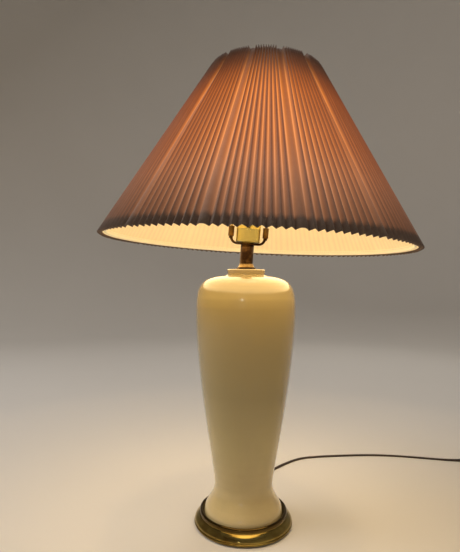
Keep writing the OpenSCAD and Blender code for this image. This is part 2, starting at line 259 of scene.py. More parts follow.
def lathe(name, outline, look, matrix=world, around=96, looped=True, relief=None, sharp=40):
    """A turned piece. relief(angle, r, z) moves a point of it out from the axis."""
    points = []
    for r, z in outline:
        for a in round_angles(around):
            s = r + (relief(a, r, z) if relief and r > 0 else 0)
            points.append((s * math.cos(a), s * math.sin(a), z))
    return add_mesh(name, points, strips(len(outline), around, looped=looped), look, matrix, sharp)


def sweep(name, path, sections, look, matrix=world, up=(0, 0, 1), sharp=40):
    """A bar along a path. sections(i) gives its outline there: offsets to the side and square to it."""
    path = [Vector(p) for p in path]
    points, up = [], Vector(up)
    for i, p in enumerate(path):
        heading = (path[min(i + 1, len(path) - 1)] - path[max(i - 1, 0)]).normalized()
        side = heading.cross(up).normalized()
        top = side.cross(heading)
        outline = sections(i)
        points += [p + side * a + top * b for a, b in outline]
    return add_mesh(name, points, bar_faces(len(path), len(outline)), look, matrix, sharp)


def circle(r, n):
    return [(r * math.cos(a), r * math.sin(a)) for a in round_angles(n)]


def rounded_box(w, h, r, n=4):
    """The outline of a rectangle 2w by 2h whose corners have the radius r."""
    x, y = w - r, h - r
    corners = ((x, y), (-x, y), (-x, -y), (x, -y))
    return [p for i, corner in enumerate(corners) for p in arc(corner, r, 90 * i, 90 * i + 90, n)]


CLOTH_MARKS = ("fold", "rise", "cloth_u", "cloth_v")


def attribute(piece, name, values):
    """A number at each point of a mesh, for its material to read."""
    piece.data.attributes.new(name, "FLOAT", "POINT").data.foreach_set("value", values)


def mark_cloth(piece, marks):
    """Each point's fold, rise and place on the flat cloth, for its material to read."""
    for name, values in zip(CLOTH_MARKS, zip(*marks)):
        attribute(piece, name, values)


def place(piece, body, slot, *stands_for):
    """Puts a piece on its body and hides the CAD nodes that it stands for. The slot argument, its finish, is
    not used.
    """
    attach(piece, body)
    if stands_for:
        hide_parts(*stands_for)
    return piece


# ---- materials ----

class Look:
    """A material, built up from texture nodes in the piece's own coordinates."""

    def __init__(self, name, **sockets):
        self.name = name
        self.material = bpy.data.materials.new(name)
        self.material.use_nodes = True
        self.nodes, self.links = self.material.node_tree.nodes, self.material.node_tree.links
        self.shader = self.nodes["Principled BSDF"]
        for socket, value in sockets.items():
            self.shader.inputs[socket.replace("_", " ")].default_value = value
        self.place = self.nodes.new("ShaderNodeTexCoord").outputs["Object"]

    def feed(self, socket, source):
        """Sets an input to a number or colour, or links it to another node's output."""
        if isinstance(source, bpy.types.NodeSocket):
            self.links.new(source, socket)
        else:
            socket.default_value = source

    def to(self, socket, source):
        self.feed(self.shader.inputs[socket], source)

    def read(self, name):
        """The number that attribute() left at each point."""
        node = self.nodes.new("ShaderNodeAttribute")
        node.attribute_name = name
        return node.outputs["Fac"]

    def height(self):
        """The height on the piece, in metres."""
        node = self.nodes.new("ShaderNodeSeparateXYZ")
        self.links.new(self.place, node.inputs[0])
        return node.outputs["Z"]

    def stretched(self, scale):
        """The piece's own coordinates, scaled along each axis if scale is given."""
        if not scale:
            return self.place
        node = self.nodes.new("ShaderNodeMapping")
        self.links.new(self.place, node.inputs["Vector"])
        node.inputs["Scale"].default_value = scale
        return node.outputs["Vector"]

    def noise(self, scale, detail=4, roughness=0.5, stretch=None):
        node = self.nodes.new("ShaderNodeTexNoise")
        self.links.new(self.stretched(stretch), node.inputs["Vector"])
        node.inputs["Scale"].default_value = scale
        node.inputs["Detail"].default_value = detail
        node.inputs["Roughness"].default_value = roughness
        return node.outputs["Fac"]

    def borders(self, scale, stretch):
        """The distance to the nearest border between random cells."""
        node = self.nodes.new("ShaderNodeTexVoronoi")
        node.feature = "DISTANCE_TO_EDGE"
        self.links.new(self.stretched(stretch), node.inputs["Vector"])
        node.inputs["Scale"].default_value = scale
        return node.outputs["Distance"]

    def calculate(self, operation, a, b=0.0, c=0.0):
        node = self.nodes.new("ShaderNodeMath")
        node.operation = operation
        for socket, source in zip(node.inputs, (a, b, c)):
            self.feed(socket, source)
        return node.outputs[0]

    def times(self, a, b, more=0.0):
        """a times b, plus more."""
        return self.calculate("MULTIPLY_ADD", a, b, more)

    def ramp(self, source, stops, eased=False):
        """Colours, or shares of white where a stop has one number, along the source's 0 to 1."""
        node = self.nodes.new("ShaderNodeValToRGB")
        node.color_ramp.interpolation = "EASE" if eased else "LINEAR"
        while len(node.color_ramp.elements) < len(stops):
            node.color_ramp.elements.new(0.5)
        for element, (at, colour) in zip(node.color_ramp.elements, stops):
            element.position = at
            element.color = (*colour, 1) if isinstance(colour, tuple) else (colour, colour, colour, 1)
        self.links.new(source, node.inputs["Fac"])
        return node.outputs["Color"]

    def mix(self, share, a, b, mode="MIX"):
        node = self.nodes.new("ShaderNodeMix")
        node.data_type = "RGBA"
        node.blend_type = mode
        for socket, source in ((node.inputs[0], share), (node.inputs[6], a), (node.inputs[7], b)):
            self.feed(socket, (*source, 1) if isinstance(source, tuple) else source)
        return node.outputs[2]

    def bump(self, height, distance, strength=1.0):
        """Raises the surface by height times distance, on top of any bump before it."""
        node = self.nodes.new("ShaderNodeBump")
        node.inputs["Strength"].default_value = strength
        node.inputs["Distance"].default_value = distance
        self.links.new(height, node.inputs["Height"])
        normal = self.shader.inputs["Normal"]
        if normal.is_linked:
            self.links.new(normal.links[0].from_socket, node.inputs["Normal"])
        self.links.new(node.outputs["Normal"], normal)

    def weave(self, pitch, u, v):
        """A plain weave whose threads run along u and v, which are in metres."""
        across, down = (self.calculate("SINE", self.times(way, 2 * math.pi / pitch)) for way in (u, v))
        return self.times(self.times(across, down), 0.5, 0.5)


def metal(name, bright, dark, roughness, patina, turned=True, grain=90, dull=1.0, painted_shade_from=None):
    """Brass, steel or iron: turning marks or a drawn grain, patina in patches and fine scratches.

    dull is the share of these marks. Above a given height, in metres, painted shade darkens the metal.
    """
    look = Look(name, Metallic=1.0)
    patches = look.noise(38, 6, 0.62)
    lines = look.noise(grain, 3, 0.6, (0.3, 0.3, 9) if turned else (6, 6, 0.4))
    aged = look.ramp(patches, [(patina - 0.12, 1.0), (patina + 0.14, 0.0)])
    shade = look.mix(lines, bright, tuple(0.8 * c for c in bright))
    base = look.mix(aged, shade, dark)
    # painted shade: above the given height the colour is mixed towards dark brown
    if painted_shade_from:
        above = look.ramp(look.height(), [(painted_shade_from, 0.0), (painted_shade_from + 0.0008, 0.85)])
        base = look.mix(above, base, (0.055, 0.030, 0.010))
    look.to("Base Color", base)
    spread = look.times(look.noise(160, 4), 0.22 * dull, roughness - 0.09 * dull)
    look.to("Roughness", look.times(aged, 0.22 * dull, spread))
    scratches = look.ramp(look.borders(420, (1, 0.25, 1.6)), [(0.0, 1.0), (0.03, 0.0)])
    look.bump(lines, 0.00006 * dull)
    look.bump(scratches, 0.00002, 0.5 * dull)
    return look


def glaze():
    """Cream glaze with faint mottling and pinholes under a glossy coat; its colour steps with height as
    painted light and shade: palest at the foot, darker up the body, a lighter band low on the shoulder and
    darkest on the shoulder's top.
    """
    look = Look("glaze", Specular_IOR_Level=0.5, Coat_Weight=0.7, Coat_Roughness=0.04)
    rise = look.times(look.height(), 1 / (VASE_TOP * MM))
    # painted light and shade: the glaze is lightened near the foot for light bounced from the floor, and
    # darkened up the body and on the shoulder's top for how the light falls
    body = look.ramp(rise, [
        (0.055, (0.76, 0.59, 0.29)), (0.12, (0.62, 0.475, 0.22)), (0.32, (0.50, 0.40, 0.172)),
        (0.52, (0.325, 0.255, 0.103)), (0.76, (0.34, 0.25, 0.092)), (0.85, (0.37, 0.26, 0.080)),
        (0.89, (0.44, 0.32, 0.108)), (0.93, (0.31, 0.230, 0.088)), (0.955, (0.21, 0.155, 0.062)),
        (0.975, (0.24, 0.178, 0.074)), (1.0, (0.34, 0.25, 0.105))])
    mottling = look.times(look.noise(24, 5, 0.55, (1, 1, 0.5)), 0.5)
    mottled = look.mix(mottling, body, (0.32, 0.25, 0.11))
    speckle = look.ramp(look.noise(900, 2, 0.4), [(0.70, 0.0), (0.76, 0.35)])
    look.to("Base Color", look.mix(speckle, mottled, (0.30, 0.21, 0.11)))
    look.to("Roughness", look.times(look.noise(60, 4), 0.05, 0.205))
    look.bump(look.noise(14, 2, 0.4, (1, 1, 2.4)), 0.0001, 0.35)
    look.bump(look.noise(520, 2), 0.00004, 0.4)
    return look


def lit_pleats():
    """Taupe cloth lit from within: inner folds glow orange, outer folds stay mauve, the hems stay dark."""
    look = Look("pleated_cloth", Roughness=0.92, Sheen_Weight=0.35, Sheen_Roughness=0.5,
                Sheen_Tint=(0.86, 0.74, 0.70, 1), Specular_IOR_Level=0.15, Emission_Strength=1.0)
    fold, rise, cloth_u, cloth_v = (look.read(name) for name in CLOTH_MARKS)
    slub = look.noise(230, 4, 0.6, (1, 1, 0.22))
    taupe = look.mix(slub, (0.135, 0.094, 0.072), (0.215, 0.155, 0.120))
    # painted shade: the cloth's colour darkens towards the outer folds
    look.to("Base Color", look.mix(look.times(fold, 0.35), taupe, (0.110, 0.080, 0.062)))
    warm = look.ramp(fold, [
        (0.0, (1.0, 0.37, 0.105)), (0.16, (0.90, 0.29, 0.060)), (0.42, (0.58, 0.150, 0.022)),
        (0.75, (0.33, 0.075, 0.012)), (1.0, (0.15, 0.030, 0.006))])
    cool = look.ramp(fold, [
        (0.0, (0.90, 0.40, 0.20)), (0.16, (0.74, 0.30, 0.135)), (0.42, (0.48, 0.175, 0.070)),
        (0.75, (0.32, 0.110, 0.046)), (1.0, (0.17, 0.060, 0.028))])
    tint = look.mix(look.ramp(rise, [(0.15, 0.0), (0.5, 0.7), (0.8, 1.0)], eased=True), cool, warm)
    glow = look.ramp(rise, [(0.0, 0.0), (0.04, 0.02), (0.062, 0.30), (0.14, 0.50), (0.28, 0.82), (0.48, 1.0),
                            (0.72, 1.0), (0.82, 0.72), (0.90, 0.31), (0.965, 0.11), (1.0, 0.03)])
    uneven = look.times(look.noise(9, 3), 0.3, 0.85)
    weave = look.weave(0.00062, cloth_u, cloth_v)
    level = look.times(look.times(glow, uneven), look.times(weave, 0.16, 0.92))
    look.to("Emission Color", look.mix(1.0, tint, level, "MULTIPLY"))
    look.bump(weave, 0.00010, 0.7)
    look.bump(slub, 0.00016, 0.5)
    return look


def lit_lining(name, glow, colour, pitch):
    """Cream cloth inside the shade: lit by the bulb, with faint shadows of the pleats behind it."""
    look = Look(name, Roughness=0.85, Sheen_Weight=0.2, Specular_IOR_Level=0.2, Emission_Strength=1.0)
    fold, rise, cloth_u, cloth_v = (look.read(name) for name in CLOTH_MARKS)
    look.to("Base Color", look.mix(look.noise(55, 4), (0.78, 0.71, 0.55), (0.72, 0.64, 0.48)))
    shadow = look.times(fold, 0.24, 0.78)
    warmer = (colour[0], 0.9 * colour[1], 0.7 * colour[2])
    warm = look.mix(look.ramp(rise, [(0.0, 0.0), (0.5, 1.0)]), colour, warmer)
    level = look.times(look.times(shadow, glow), look.times(look.noise(30, 4), 0.16, 0.92))
    look.to("Emission Color", look.mix(1.0, warm, level, "MULTIPLY"))
    look.bump(look.weave(pitch, cloth_u, cloth_v), 0.00006, 0.5)
    return look


def plain(name, colour, other, roughness, grain, height, **sockets):
    """Plastic, felt, fibre or rubber: two close colours mixed by a grain that also raises the surface."""
    look = Look(name, **sockets)
    speck = look.noise(grain, 5, 0.6)
    look.to("Base Color", look.mix(speck, colour, other))
    look.to("Roughness", look.times(look.noise(grain / 3, 4), 0.2, roughness - 0.1))
    look.bump(speck, height)
    return look


def lit_glass():
    """Frosted glass of a lit bulb: brightest round its middle, dimmer at the neck."""
    look = Look("bulb_glass", Roughness=0.25, Specular_IOR_Level=0.5, Coat_Weight=0.6, Emission_Strength=3.2)
    look.to("Base Color", look.mix(look.noise(300, 3), (0.95, 0.92, 0.84), (0.9, 0.86, 0.76)))
    look.to("Emission Color", look.ramp(look.read("rise"), [
        (0.0, (0.55, 0.30, 0.10)), (0.25, (0.9, 0.58, 0.26)),
        (0.6, (1.0, 0.82, 0.50)), (1.0, (1.0, 0.74, 0.40))]))
    look.bump(look.noise(700, 2), 0.00002, 0.4)
    return look


looks = {look.name: look.material for look in (
    metal("brass", (0.72, 0.48, 0.17), (0.20, 0.115, 0.035), 0.26, 0.40),
    # the foot's brass: darker than the other brass as a painted dark reflection of the room it mirrors, with
    # painted shade on the bead under the vase
    metal("foot_brass_painted_dark", (0.39, 0.29, 0.082), (0.20, 0.125, 0.030), 0.085, 0.44, dull=0.15,
          painted_shade_from=(SKIRT_TOP[1] - 0.2) * MM),
    # painted light: this brass is lighter and yellower than plain brass, for the bulb's light and the glowing
    # shade that it mirrors
    metal("bright_brass", (1.0, 0.84, 0.28), (0.84, 0.63, 0.19), 0.30, 0.27, grain=140),
    metal("antique_brass", (0.18, 0.090, 0.028), (0.026, 0.012, 0.005), 0.34, 0.56, turned=False),
    metal("collar_brass", (0.36, 0.23, 0.085), (0.13, 0.075, 0.026), 0.32, 0.44),
    metal("sleeve_brass", (0.33, 0.195, 0.062), (0.085, 0.042, 0.014), 0.30, 0.50),
    metal("saddle_brass", (0.15, 0.078, 0.026), (0.045, 0.020, 0.007), 0.32, 0.52, turned=False),
    metal("wire_brass", (0.74, 0.54, 0.22), (0.30, 0.18, 0.06), 0.28, 0.38, turned=False),
    metal("steel", (0.62, 0.61, 0.58), (0.28, 0.25, 0.21), 0.36, 0.40),
    metal("iron", (0.15, 0.145, 0.14), (0.06, 0.05, 0.045), 0.62, 0.52),
    metal("cap_metal", (0.80, 0.79, 0.75), (0.45, 0.42, 0.36), 0.28, 0.34),
    glaze(),
    lit_pleats(),
    lit_lining("lining", 0.43, (1.0, 0.66, 0.25), 0.0005),
    lit_lining("hem", 0.47, (1.0, 0.78, 0.38), 0.0007),
    plain("thread", (0.82, 0.74, 0.56), (0.70, 0.60, 0.42), 0.8, 2400, 0.00003),
    plain("felt", (0.045, 0.060, 0.045), (0.085, 0.105, 0.08), 0.95, 1500, 0.0004, Sheen_Weight=0.5),
    plain("paperboard", (0.42, 0.31, 0.18), (0.52, 0.40, 0.25), 0.85, 420, 0.00008),
    plain("phenolic", (0.020, 0.012, 0.009), (0.040, 0.024, 0.016), 0.4, 260, 0.00003),
    plain("knob", (0.022, 0.014, 0.010), (0.042, 0.028, 0.020), 0.3, 200, 0.00002, Coat_Weight=0.4),
    plain("cord", (0.030, 0.017, 0.011), (0.055, 0.034, 0.023), 0.42, 500, 0.00004),
    plain("plug", (0.026, 0.016, 0.011), (0.048, 0.030, 0.021), 0.45, 320, 0.00005),
    plain("tie", (0.020, 0.020, 0.022), (0.045, 0.045, 0.048), 0.6, 900, 0.00006),
    metal("blade", (0.78, 0.68, 0.42), (0.48, 0.38, 0.2), 0.25, 0.34, turned=False),
    lit_glass(),
    plain("stem_glass", (0.95, 0.85, 0.62), (0.85, 0.72, 0.5), 0.2, 300, 0.00001,
          Emission_Color=(1, 0.7, 0.3, 1), Emission_Strength=1.5),
)}


# ---- cord ----

CORD_WIDTH = 5.2
CORD_THICKNESS = 2.6
ON_TABLE = [
    (13, 134), (21, 142), (30, 149.5), (39, 157.5), (48, 166.5), (56, 176), (63.5, 185), (71, 193.5),
    (79, 201.5), (87.5, 210), (97, 218), (107.5, 225), (119, 230), (131, 233.5), (150, 238), (172, 242),
    (196, 246), (222, 249.5), (250, 251.5), (278, 251), (305, 248.5), (331, 245), (356, 241)]
ROUTE = [(0, 90, 7.5), (0, 98, 6.5), (1, 107, 5), (3, 116, 3), (7, 125, 2)]
ROUTE += [(x, y, 1.5) for x, y in ON_TABLE]
ROUTE += [(378, 237.5, 1.6), (398, 235, 2), (418, 233.5, 2.6), (437, 233.1, 2.8)]
TAIL = [(469.4, 200, 8.1), (469.4, 191, 7.3), (469, 182, 6.7), (467.8, 173, 6.5)]
COIL_AT = (437, 200)
COIL_OUTER = 33.1
COIL_PITCH = 2.7
COIL_LAYERS = (2.8, 8.1)
TURNS_IN = 3.5
TURNS_ON_EDGE = 0.5
TURNS_OUT = 3.25
PLUG_LEN = 30
at_relief = shift(0, 0, ROUTE[0][2]) @ Matrix.Rotation(-math.pi / 2, 4, "X")
at_plug = shift(*TAIL[-1]) @ Matrix.Rotation(math.radians(-8), 4, "Z") @ Matrix.Rotation(math.pi / 2, 4, "X")


def coil_points(per_turn=48):
    """Inwards on the table, half a turn up at the inner radius, then outwards on the layer above."""
    inner = COIL_OUTER - COIL_PITCH * TURNS_IN
    total = TURNS_IN + TURNS_ON_EDGE + TURNS_OUT
    points = []
    for i in range(1, round(total * per_turn)):
        turn = i / per_turn
        if turn <= TURNS_IN:
            r, share = COIL_OUTER - COIL_PITCH * turn, 0.0
        else:
            share = min(1.0, (turn - TURNS_IN) / TURNS_ON_EDGE)
            r = inner + COIL_PITCH * max(0.0, turn - TURNS_IN - TURNS_ON_EDGE)
        lift = share * share * (3 - 2 * share)
        a = math.radians(90) - 2 * math.pi * turn
        points.append((COIL_AT[0] + r * math.cos(a), COIL_AT[1] + r * math.sin(a), blend(COIL_LAYERS, lift)))
    return points


def make_cord():
    """The cord from the strain relief to the plug: two round cores with a groove between them."""
    r = CORD_THICKNESS / 2
    lobe = arc((CORD_WIDTH / 2 - r, 0), r, -128, 128, 8)
    outline = lobe + [(-a, -b) for a, b in lobe]
    free = smooth(ROUTE, 3)
    path = free[:-1] + [Vector(p) for p in [ROUTE[-1]] + coil_points()] + smooth(TAIL, 3)
    flat_z = COIL_LAYERS[0] - r

    def section(i):
        """Flat on the table as far as the coil, and on edge from there on."""
        if i >= len(free):
            edge = 1.0
        elif i > len(free) / 2:
            edge = min(1.0, max(0.0, (path[i].z - flat_z) / r))
        else:
            edge = 0.0
        flat = math.sqrt(1 - edge * edge)
        return [(a * flat + b * edge, b * flat - a * edge) for a, b in outline]

    cord = sweep("flat_cord", path, section, "cord", sharp=60)
    place(cord, "lamp_base", "cord", "cord_tube", "cord_coil")
    return cord, [p * MM for p in path]


def make_plug():
    """A moulded plug that tapers to the cord, with a waist for the fingers and ribs across it."""
    stations = [(0, 3.6, 3.4), (1.2, 4.3, 4.1), (4, 6.6, 5.0), (7, 10.2, 6.0), (9, 11.5, 6.4)]
    for i in range(13):
        s = 10 + i * 1.1
        rib = 0.28 * (1 if i % 2 else -1)
        waist = 0.9 * math.sin(math.pi * i / 12)
        stations.append((s, 11.6 - waist + rib * 0.6, 6.5 - 0.5 * waist + rib * 0.5))
    stations += [(24.6, 11.8, 6.55), (25.4, 12.0, 6.7), (29.3, 12.0, 6.7), (PLUG_LEN, 11.4, 6.1)]
    points = []
    for s, w, h in stations:
        outline = rounded_box(w, h, min(w, h) * 0.62, 5)
        points += [(x, y + 0.4 * min(1, s / 9), s) for x, y in outline]
    faces = bar_faces(len(stations), len(outline))
    plug = add_mesh("plug_moulding", points, faces, "plug", at_plug, 50)
    return place(plug, "lamp_base", "plug", "plug_body")


def make_blades():
    """Two flat blades with rounded tips and a hole near each tip."""
    points, faces = [], []
    length, half_w, half_t, hole_at, hole_r, tip, steps = 16, 3.15, 0.75, 12.2, 1.6, 1.6, 48
    for centre in (-6.35, 6.35):
        outer, inner = [], []
        for dy, dz in circle(1, steps):
            reach = min(half_w / max(abs(dy), 1e-6),
                        (length - hole_at if dz > 0 else hole_at) / max(abs(dz), 1e-6))
            y, z = dy * reach, hole_at + dz * reach
            if z > length - tip:
                y *= 1 - 0.28 * (z - length + tip) / tip
            outer.append((y, z))
            inner.append((hole_r * dy, hole_at + hole_r * dz))
        faces += numbered_from(len(points), strips(4, steps, looped=True))
        for x, ring in ((-half_t, outer), (half_t, outer), (half_t, inner), (-half_t, inner)):
            points += [(centre + x, 0.45 + y, PLUG_LEN + z) for y, z in ring]
    blades = add_mesh("plug_contacts", points, faces, "blade", at_plug, 30)
    return place(blades, "lamp_base", "blade", "plug_blades")


def make_tie():
    """A strap once round the coil, on the side away from the plug."""
    centre_r, half_w, low, high, thick = 28.4, 6.4, 0.1, 11.2, 0.09
    half_h, middle = (high - low) / 2, (low + high) / 2
    outer, inner = rounded_box(half_w, half_h, 1.4), rounded_box(half_w - thick, half_h - thick, 1.3)
    at = shift(*COIL_AT, 0) @ Matrix.Rotation(math.radians(150), 4, "Z")
    points = []
    for ring, y in ((outer, -3), (outer, 3), (inner, 3), (inner, -3)):
        points += [(centre_r + x, y, middle + z) for x, z in ring]
    tie = add_mesh("cord_tie", points, strips(4, len(outer), looped=True), "tie", at)
    return place(tie, "lamp_base", "cord")


def make_strain_relief():
    """A tapered sleeve with a collar at the foot and grooves that let it bend."""
    outline = [(2.75, 58.1), (4.35, 58.1), (4.35, 59.5), (3.6, 60), (3.6, 68.4), (5.3, 68.7), (5.6, 69.3),
               (5.6, 70.3), (5.2, 70.8)]
    for i in range(5):
        z = 71.2 + i * 3.3
        r = 4.7 - 0.24 * i
        outline += [(r, z), (r, z + 2.0), (r - 0.7, z + 2.3), (r - 0.7, z + 3.0)]
    outline += [(3.5, 88), (3.4, 89.6), (3.2, 90), (2.75, 90)]
    relief = lathe("cord_relief", outline, "cord", at_relief, 40)
    place(relief, "lamp_base", "cord", "strain_relief")


cord_piece, cord_path = make_cord()
make_plug()
make_blades()
make_tie()
make_strain_relief()


# ---- shade ----

def fold_angles(rise, wobble):
    """Angles of the inner folds round the shade at a height from 0 to 1, a wide pleat first in each group."""
    ratio = blend(WIDE_RATIO, rise ** 1.9)
    group = 2 * math.pi / PLEAT_GROUPS
    narrow = group / (NARROW_PLEATS + ratio)
    steps = [0] + [ratio + k for k in range(NARROW_PLEATS)]
    angles = []
    for g in range(PLEAT_GROUPS):
        start = FIRST_WIDE + g * group - narrow * ratio / 2
        angles += [start + narrow * (step + wobble[len(angles) + k]) for k, step in enumerate(steps)]
    return angles + [angles[0] + 2 * math.pi]


def cone_point(rise, out, angle):
    """A point on the shade: out is its distance outside the inner folds, square to the slant."""
    r = blend((SHADE_R, SHADE_TOP_R), rise) + out * math.cos(SLANT)
    return (r * math.sin(angle), -r * math.cos(angle), RIM_Z + SHADE_H * rise + out * math.sin(SLANT))


def narrow_profile(u):
    """A sharp fold, only just rounded at its tip."""
    tip = 0.09
    full = math.sqrt(1 + tip * tip) - tip
    return (math.sqrt(1 + tip * tip) - math.sqrt((2 * u - 1) ** 2 + tip * tip)) / full


def wide_profile(u):
    """A broad low arch."""
    return 1 - abs(2 * u - 1) ** 2.3


def make_pleats(rows=30):
    """The pleated cloth: groups of narrow sharp pleats with one wide arched pleat between them."""
    rng = random.Random(7)
    pleats = PLEAT_GROUPS * (NARROW_PLEATS + 1)
    wobble = [rng.uniform(-0.055, 0.055) for _ in range(pleats)]
    depths = [rng.uniform(0.93, 1.0) for _ in range(pleats)]
    narrow_steps = (0, 0.05, 0.14, 0.28, 0.4, 0.46, 0.5, 0.54, 0.6, 0.72, 0.86, 0.95)
    wide_steps = (0, 0.03, 0.08, 0.16, 0.26, 0.38, 0.5, 0.62, 0.74, 0.84, 0.92, 0.97)
    points, marks = [], []
    for i in range(rows):
        rise = i / (rows - 1)
        angles = fold_angles(rise, wobble)
        run, last = 0.0, None
        for j in range(pleats):
            wide = j % (NARROW_PLEATS + 1) == 0
            depth = (blend(PLEAT_DEPTH, rise) - 1.2 * CLOTH_T) * depths[j]
            if wide:
                depth *= blend(WIDE_DEPTH, rise)
            for u in wide_steps if wide else narrow_steps:
                height = wide_profile(u) if wide else narrow_profile(u)
                point = Vector(cone_point(rise, 0.6 * CLOTH_T + depth * height, blend(angles[j:j + 2], u)))
                run += (point - last).length if last else 0.0
                last = point
                points.append(point)
                marks.append((0.66 * height if wide else height, rise, run * MM,
                              rise * SHADE_H / math.cos(SLANT) * MM))
    faces = strips(rows, len(points) // rows)
    cloth = add_mesh("pleated_cloth", points, faces, "pleated_cloth", at_shade, 75)
    mark_cloth(cloth, marks)
    layer = cloth.modifiers.new("thickness", "SOLIDIFY")
    layer.thickness = CLOTH_T * MM
    layer.offset = 0
    return place(cloth, "shade", "pleats", "shade_fabric")


def make_liner(rows=24):
    """The smooth cone inside, pressed a little outwards between the inner folds that it touches."""
    wobble = [0.0] * (PLEAT_GROUPS * (NARROW_PLEATS + 1))
    steps = (0, 0.2, 0.4, 0.6, 0.8)
    start = LINER_FROM * math.cos(SLANT) / SHADE_H
    outer = [(start + (1 - start) * i / rows, -LINER_GAP - 0.06) for i in range(rows + 1)]
    inner = [(rise, -LINER_GAP - LINER_T + 0.06) for rise, _ in reversed(outer)]
    points, marks = [], []
    for rise, out in outer + inner:
        angles = fold_angles(rise, wobble)
        for j in range(len(wobble)):
            for u in steps:
                a = blend(angles[j:j + 2], u)
                between = math.sin(math.pi * u)
                points.append(cone_point(rise, out + 0.05 * between, a))
                marks.append((between, rise, a * SHADE_R * MM, rise * SHADE_H * MM))
    faces = strips(len(outer + inner), len(steps) * len(wobble), looped=True)
    liner = add_mesh("shade_lining", points, faces, "lining", at_shade)
    mark_cloth(liner, marks)
    return place(liner, "shade", "liner", "shade_liner")


def make_hem():
    """A tape from the liner round the bottom ring and back, with a row of stitches along it."""
    on_liner = SHADE_R - (HEM_TOP - RIM_Z) * math.tan(SLANT) - (LINER_GAP + LINER_T) / math.cos(SLANT) - 0.3
    outline = [(on_liner, HEM_TOP), (on_liner - 0.35, HEM_TOP - 1.2)]
    outline += arc(BOTTOM_RING, RING_WIRE + 0.24, 172, 400, 16)
    inside = [(on_liner + 0.25, HEM_TOP), (on_liner - 0.08, HEM_TOP - 1.2)]
    inside += arc(BOTTOM_RING, RING_WIRE + 0.02, 172, 400, 16)
    tape = lathe("hem_tape_cloth", outline + list(reversed(inside)), "hem", at_shade, 280)
    heights = [((at_shade.inverted() @ v.co).z / MM - RIM_Z) / SHADE_H for v in tape.data.vertices]
    attribute(tape, "rise", heights)
    place(tape, "shade", "hem", "hem_tape")
    points, faces = [], []
    count, half, thick, sides = 310, 1.35, 0.24, 6
    row_r, row_z = on_liner - 0.42, HEM_TOP - 1.7
    profile = ((-1, 0.2), (-0.75, 0.85), (0, 1), (0.75, 0.85), (1, 0.2))
    for centre in round_angles(count):
        faces += numbered_from(len(points), bar_faces(len(profile), sides))
        for s, r in profile:
            a = centre + s * half / row_r
            for y, z in circle(thick * r, sides):
                points.append(((row_r + y) * math.cos(a), (row_r + y) * math.sin(a), row_z + z))
    stitches = add_mesh("hem_stitches", points, faces, "thread", at_shade)
    return tape, place(stitches, "shade", "hem")


def make_top_wrap():
    """Tape wound round the top ring, each turn lapping the last."""
    around, sides, laps = 504, 16, 84
    points = []
    for i, a in enumerate(round_angles(around)):
        for k, b in enumerate(round_angles(sides)):
            lap = (laps * i / around - k / sides) % 1
            r = RING_WIRE - 0.05 + 0.2 * lap
            away = TOP_RING[0] + r * math.cos(b)
            points.append((away * math.cos(a), away * math.sin(a), TOP_RING[1] + r * math.sin(b)))
    wrap = add_mesh("top_ring_tape", points, strips(around, sides, looped=True), "hem", at_shade, 60)
    return place(wrap, "shade", "hem", "shade_top_ring")


def make_spider():
    """The hub washer and three arms that carry the shade's top ring."""
    hub = [(5.5, 0.2), (5.8, 0), (12.2, 0), (12.5, 0.25), (12.5, 1.25), (12.2, 1.5), (5.8, 1.5), (5.5, 1.3)]
    place(lathe("spider_hub", hub, "wire_brass", at_shade, 64), "shade", "brass", "shade_spider")
    for i, angle in enumerate((90, 210, 330)):
        frame_at = at_shade @ Matrix.Rotation(math.radians(angle), 4, "Z")
        path = [(9.5, 0, 0.9), (11, 0, 0.95), (14, 0, 1.3), (20, 0, 2.3), (45, 0, 6.4), (66, 0, 9.9),
                (TOP_RING[0] - 1.2, 0, TOP_RING[1])]
        arm = sweep(f"spider_arm_{i + 1}", smooth(path, 3), lambda i: circle(1.35, 16), "wire_brass",
                    frame_at, (0, 1, 0))
        place(arm, "shade", "brass", "shade_spider")


# ---- harp, finial, socket ----

def bow_point(x, z):
    """A point of the harp in the lamp's frame; its top leans further than its legs."""
    lean = math.radians(blend((FITTER_LEAN, HARP_LEAN), min(1, max(0, (z - LEG_STRAIGHT) / 50))))
    return (FITTER_X + x * math.cos(lean) + z * math.sin(lean), 0,
            FITTER_Z - x * math.sin(lean) + z * math.cos(lean))


def make_harp():
    """The bent wire bow, its two feet, and the seat that carries the shade."""
    top = HARP_H - 3.6
    flank = [(LEG_X, LEG_STRAIGHT), (LEG_X + 1, 70), (HARP_HALF_W, 95), (HARP_HALF_W, 145)]
    crown = [(HARP_HALF_W, 145), (HARP_HALF_W, 195), (34, top), (9, top)]
    right = [(LEG_X, LEG_FOOT), (LEG_X, 24), (LEG_X, 32)] + along(flank, 30) + along(crown, 36)
    right += [(9, top), (4, top), (0, top)]
    path = [bow_point(x, z) for x, z in right + [(-x, z) for x, z in reversed(right[:-1])]]
    bow = sweep("harp_wire", path, lambda i: circle(1.7, 18), "wire_brass", up=(0, 1, 0))
    place(bow, "harp", "brass", "harp_bow")
    foot = [(0, LEG_FOOT), (2.4, LEG_FOOT), (2.8, 18.8), (2.8, 22.6), (2.2, 23.8), (1.7, 24), (0, 24)]
    for side, at in at_legs.items():
        leg_foot = lathe(f"harp_foot_{side}", foot, "brass", at, 32, looped=False)
        place(leg_foot, "harp", "brass", "harp_bow")
    seat = [(0, -5), (3.7, -5), (4, -4.7), (4, -2.4), (7.1, -2.3), (7.5, -1.9), (7.5, -0.8), (7.1, -0.4),
            (3.1, -0.3), (3.1, 13.4), (2.5, 14), (0, 14)]
    knurl = lathe("harp_seat_stud", seat, "bright_brass", at_shade, 120, looped=False,
                  relief=lambda a, r, z: -0.22 * (1 + math.cos(40 * a)) / 2 if 7.3 < r else 0)
    place(knurl, "harp", "brass", "harp_seat")


